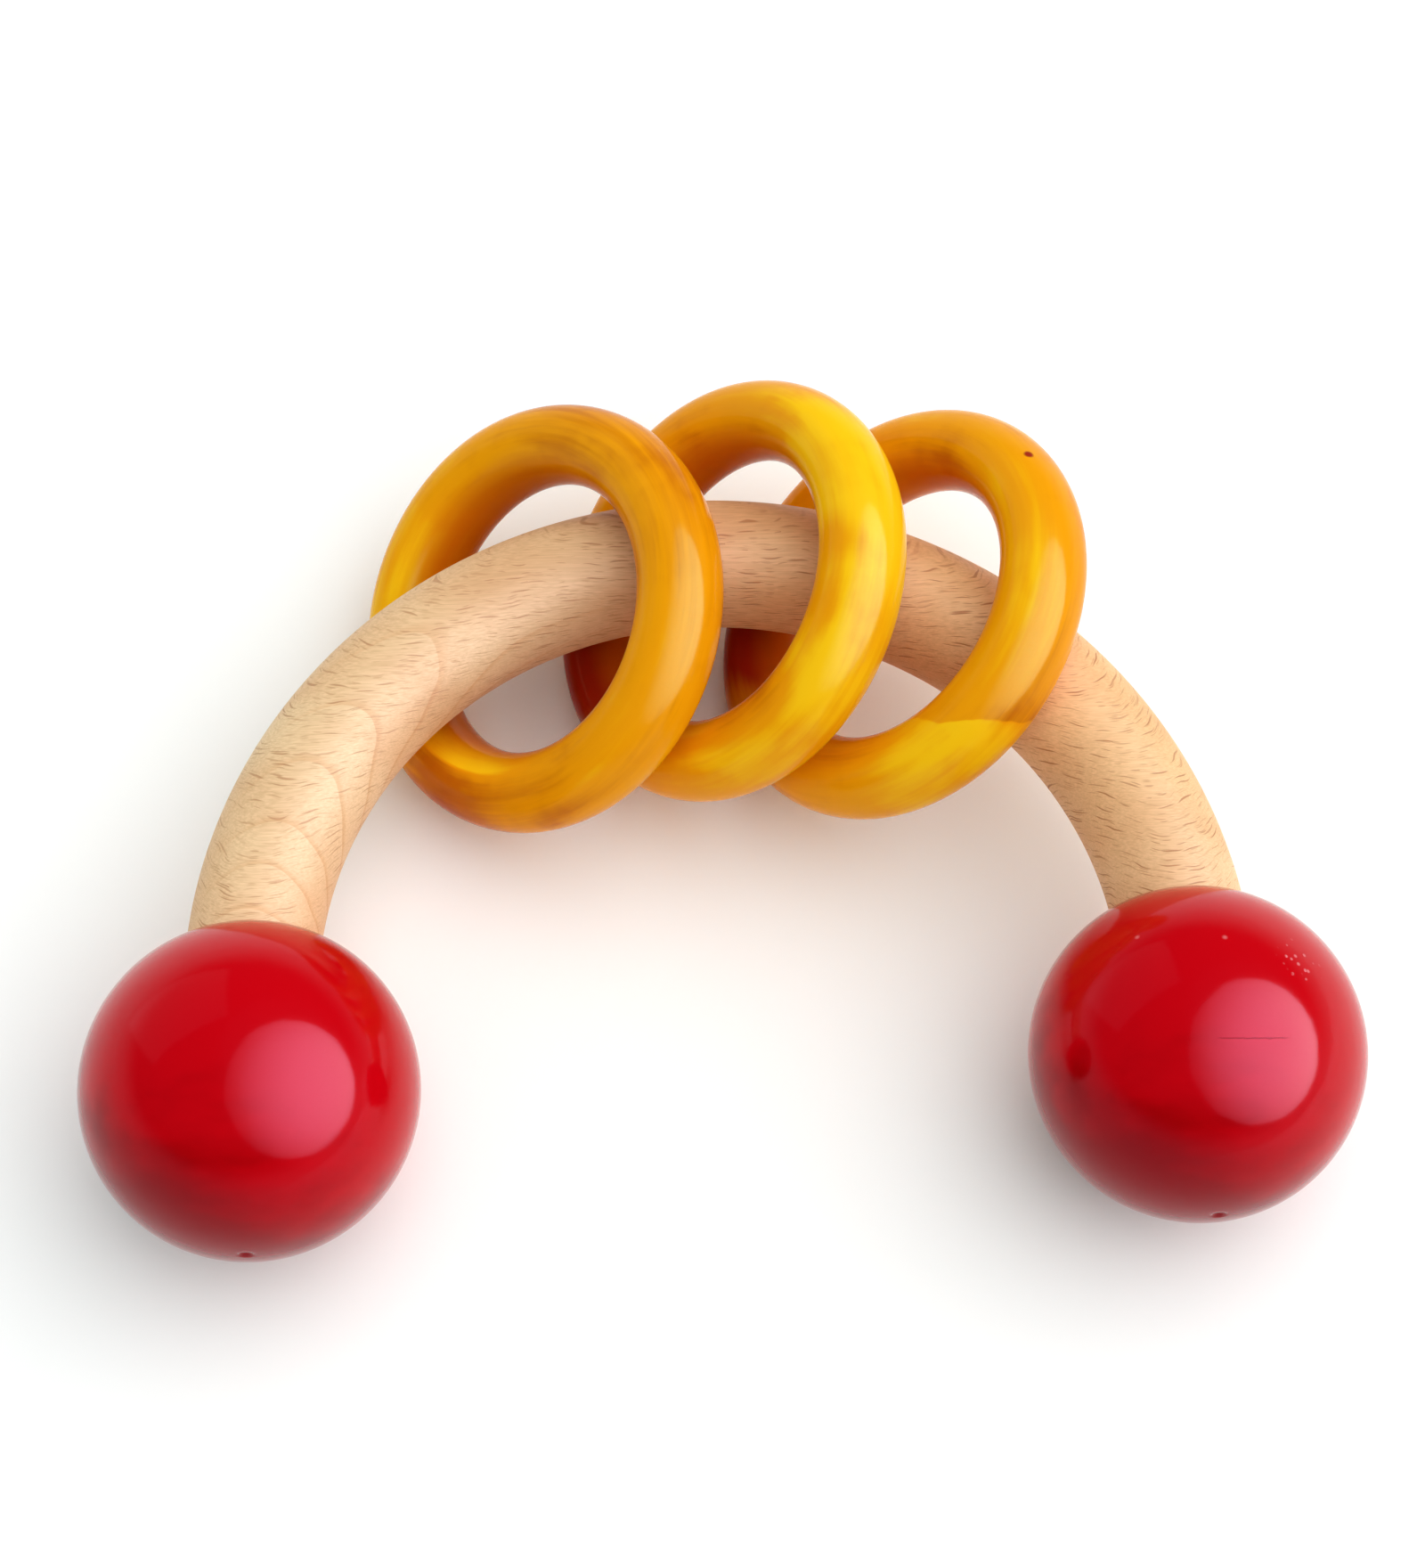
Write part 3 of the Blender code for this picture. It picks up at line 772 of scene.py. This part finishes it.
def add_camera(look):
    """Camera that looks at its target from the set turn, height, roll and distance."""
    aside, out = math.sin(look.azimuth), math.cos(look.azimuth)
    rise, level = math.sin(look.elevation), math.cos(look.elevation)
    ahead = Vector((aside * level, out * level, -rise))
    right = Vector((out, -aside, 0))
    up = right.cross(ahead)
    turned = right * math.cos(look.roll) + up * math.sin(look.roll)
    up = up * math.cos(look.roll) - right * math.sin(look.roll)
    lens = bpy.data.cameras.new("camera")
    lens.lens = look.focal
    lens.sensor_width = SENSOR_WIDTH
    camera = bpy.data.objects.new("camera", lens)
    camera.matrix_world = Matrix((turned, up, -ahead)).transposed().to_4x4()
    camera.location = CAMERA_TARGET - ahead * look.distance
    bpy.context.scene.collection.objects.link(camera)
    bpy.context.scene.camera = camera


def add_sun(name, way, tint, strength, size):
    """Soft round source far away in the given direction, which leaves no highlight."""
    light = bpy.data.lights.new(name, "SUN")
    light.energy = strength
    light.angle = size
    light.color = tint
    lamp = bpy.data.objects.new(name, light)
    lamp.matrix_world = facing(way, X_AXIS)
    lamp.visible_glossy = False
    bpy.context.scene.collection.objects.link(lamp)


def add_panel(name, way, width, height, shape, power):
    """Flat lamp that shows in gloss only, at a set distance in the given direction."""
    light = bpy.data.lights.new(name, "AREA")
    light.shape = shape
    light.size, light.size_y = width, height
    light.energy = power
    lamp = bpy.data.objects.new(name, light)
    lamp.matrix_world = Matrix.Translation(LAMP_REACH * way) @ facing(way, X_AXIS)
    lamp.visible_diffuse = False
    bpy.context.scene.collection.objects.link(lamp)
    return light


def add_softbox(look):
    """Round softbox, brightest to one side of its middle."""
    wide = 2 * LAMP_REACH * math.tan(look.gloss_size / 2)
    power = look.gloss * math.pi * math.pi / 4 * wide**2
    light = add_panel("softbox", SOFTBOX_WAY, wide, wide, "DISK", power)
    light.use_nodes = True
    nodes = Nodes(light.node_tree)
    spot = nodes.node("NewGeometry", {}, out="Parametric")
    far = nodes.vector("DISTANCE", spot, SOFTBOX_HEART, out="Value")
    emission = nodes.tree.nodes["Emission"]
    nodes.feed(emission.inputs["Strength"], nodes.fade(far, *SOFTBOX_FADE))


def add_backdrop(look):
    """White surroundings, bright at the horizon and dim overhead."""
    world = bpy.data.worlds.new("studio")
    world.use_nodes = True
    nodes = Nodes(world.node_tree)
    height = nodes.part(nodes.node("TexCoord", {}, out="Generated"), "Z")
    background = nodes.tree.nodes["Background"]
    nodes.feed(background.inputs["Color"], (1, 1, 1))
    strength = nodes.fade(height, *BACKDROP, look.horizon, look.sky)
    nodes.feed(background.inputs["Strength"], strength)
    bpy.context.scene.world = world


# Operators

class RATTLE_OT_handle(bpy.types.Operator):
    """Bend the beech bar into the half-ring handle"""

    bl_idname = "rattle.handle"
    bl_label = "Half-ring handle"

    def execute(self, context):
        every = context.scene.rattle
        look = every.handle
        bm = half_ring(look, every.dowels.diameter, every.dowels.length, every.balls.clearance)
        wood = beech("beech_handle", look.pale, look.warm, look.tan, look.late, look.fleck)
        lift = Matrix.Translation((0, 0, ARM_HEIGHT))
        add_piece("half_ring_handle", bm, wood, "handle", lift)
        return {"FINISHED"}


class RATTLE_OT_dowels(bpy.types.Operator):
    """Turn the two fluted dowels that join arms and balls"""

    bl_idname = "rattle.dowels"
    bl_label = "Dowels"

    def execute(self, context):
        every = context.scene.rattle
        bare = every.dowels.wood
        wood = beech("beech_dowels", bare, bare, bare, every.handle.late, every.handle.fleck)
        for word, side in SIDES.items():
            spot = Matrix.Translation((side * every.handle.arc, 0, ARM_HEIGHT))
            place = spot @ Matrix.Rotation(-math.pi / 2, 4, "X")
            add_piece(
                word + "_dowel", fluted_pin(every.dowels), wood, "handle", place
            )
        return {"FINISHED"}


class RATTLE_OT_balls(bpy.types.Operator):
    """Turn, bore and lacquer the two balls"""

    bl_idname = "rattle.balls"
    bl_label = "Lacquered balls"

    def execute(self, context):
        every = context.scene.rattle
        look, arc = every.balls, every.handle.arc
        hold = every.handle.bar / 2 + look.clearance
        mouth_y = BALL_Y + math.sqrt((look.diameter / 2) ** 2 - hold**2)
        mouth_x = math.sqrt(arc**2 - mouth_y**2)
        for word, side in SIDES.items():
            centre = Vector((side * arc, BALL_Y, ARM_HEIGHT))
            axis = Vector((side * mouth_x, mouth_y, ARM_HEIGHT)) - centre
            place = Matrix.Translation(centre) @ facing(axis, Z_AXIS)
            bm = turned_ball(
                look, every.handle.bar, every.dowels.diameter, every.dowels.length,
                -BALL_Y - look.clearance,
            )
            paint = red_lacquer(word + "_red_lacquer", look, centre, word == "right")
            add_piece(word + "_ball", bm, paint, "handle", place)
        return {"FINISHED"}


class RATTLE_OT_rings(bpy.types.Operator):
    """Turn and lacquer the loose rings and thread them on the handle"""

    bl_idname = "rattle.rings"
    bl_label = "Loose rings"

    def execute(self, context):
        look = context.scene.rattle.rings
        for seed, name in enumerate(RINGS, start=1):
            centre, axis, _ = ring_place(name)
            place = Matrix.Translation(centre) @ facing(axis, X_AXIS)
            paint = yellow_lacquer(name, place, look, seed)
            add_piece(name, turned_ring(look), paint, name, place)
        return {"FINISHED"}


class RATTLE_OT_stage(bpy.types.Operator):
    """Lay the pale floor and set the soft light and the camera"""

    bl_idname = "rattle.stage"
    bl_label = "Floor, light and camera"

    def execute(self, context):
        look = context.scene.rattle.stage
        context.scene.view_settings.view_transform = "Standard"
        add_floor(look.floor_colour)
        add_camera(look)
        add_sun("key", KEY_WAY, KEY_TINT, look.key_strength, look.key_size)
        add_sun("fill", FILL_WAY, FILL_TINT, look.fill_strength, look.fill_size)
        add_softbox(look)
        add_panel("panel", PANEL_WAY, *PANEL_SIZE, "RECTANGLE", look.panel_power)
        add_backdrop(look)
        return {"FINISHED"}


class RATTLE_PT_sidebar(bpy.types.Panel):
    """Lists the rattle's pieces and their settings"""

    bl_idname = "RATTLE_PT_sidebar"
    bl_label = "Wooden ring rattle"
    bl_space_type = "VIEW_3D"
    bl_region_type = "UI"
    bl_category = "Rattle"

    def draw(self, context):
        every = context.scene.rattle
        for operator, group in zip(OPERATORS, ("handle", "dowels", "balls", "rings", "stage")):
            box = self.layout.box()
            box.operator(operator.bl_idname)
            settings = getattr(every, group)
            for name in settings.__annotations__:
                box.prop(settings, name)


OPERATORS = (
    RATTLE_OT_handle, RATTLE_OT_dowels, RATTLE_OT_balls, RATTLE_OT_rings, RATTLE_OT_stage
)
CLASSES = (
    HandleSettings, BallSettings, DowelSettings, RingSettings, StageSettings, RattleSettings,
    *OPERATORS, RATTLE_PT_sidebar,
)


def register():
    for item in CLASSES:
        bpy.utils.register_class(item)
    bpy.types.Scene.rattle = PointerProperty(type=RattleSettings)


def unregister():
    del bpy.types.Scene.rattle
    for item in reversed(CLASSES):
        bpy.utils.unregister_class(item)


def main():
    register()
    bpy.ops.rattle.handle()
    bpy.ops.rattle.dowels()
    bpy.ops.rattle.balls()
    bpy.ops.rattle.rings()
    bpy.ops.rattle.stage()


if __name__ == "__main__":
    main()
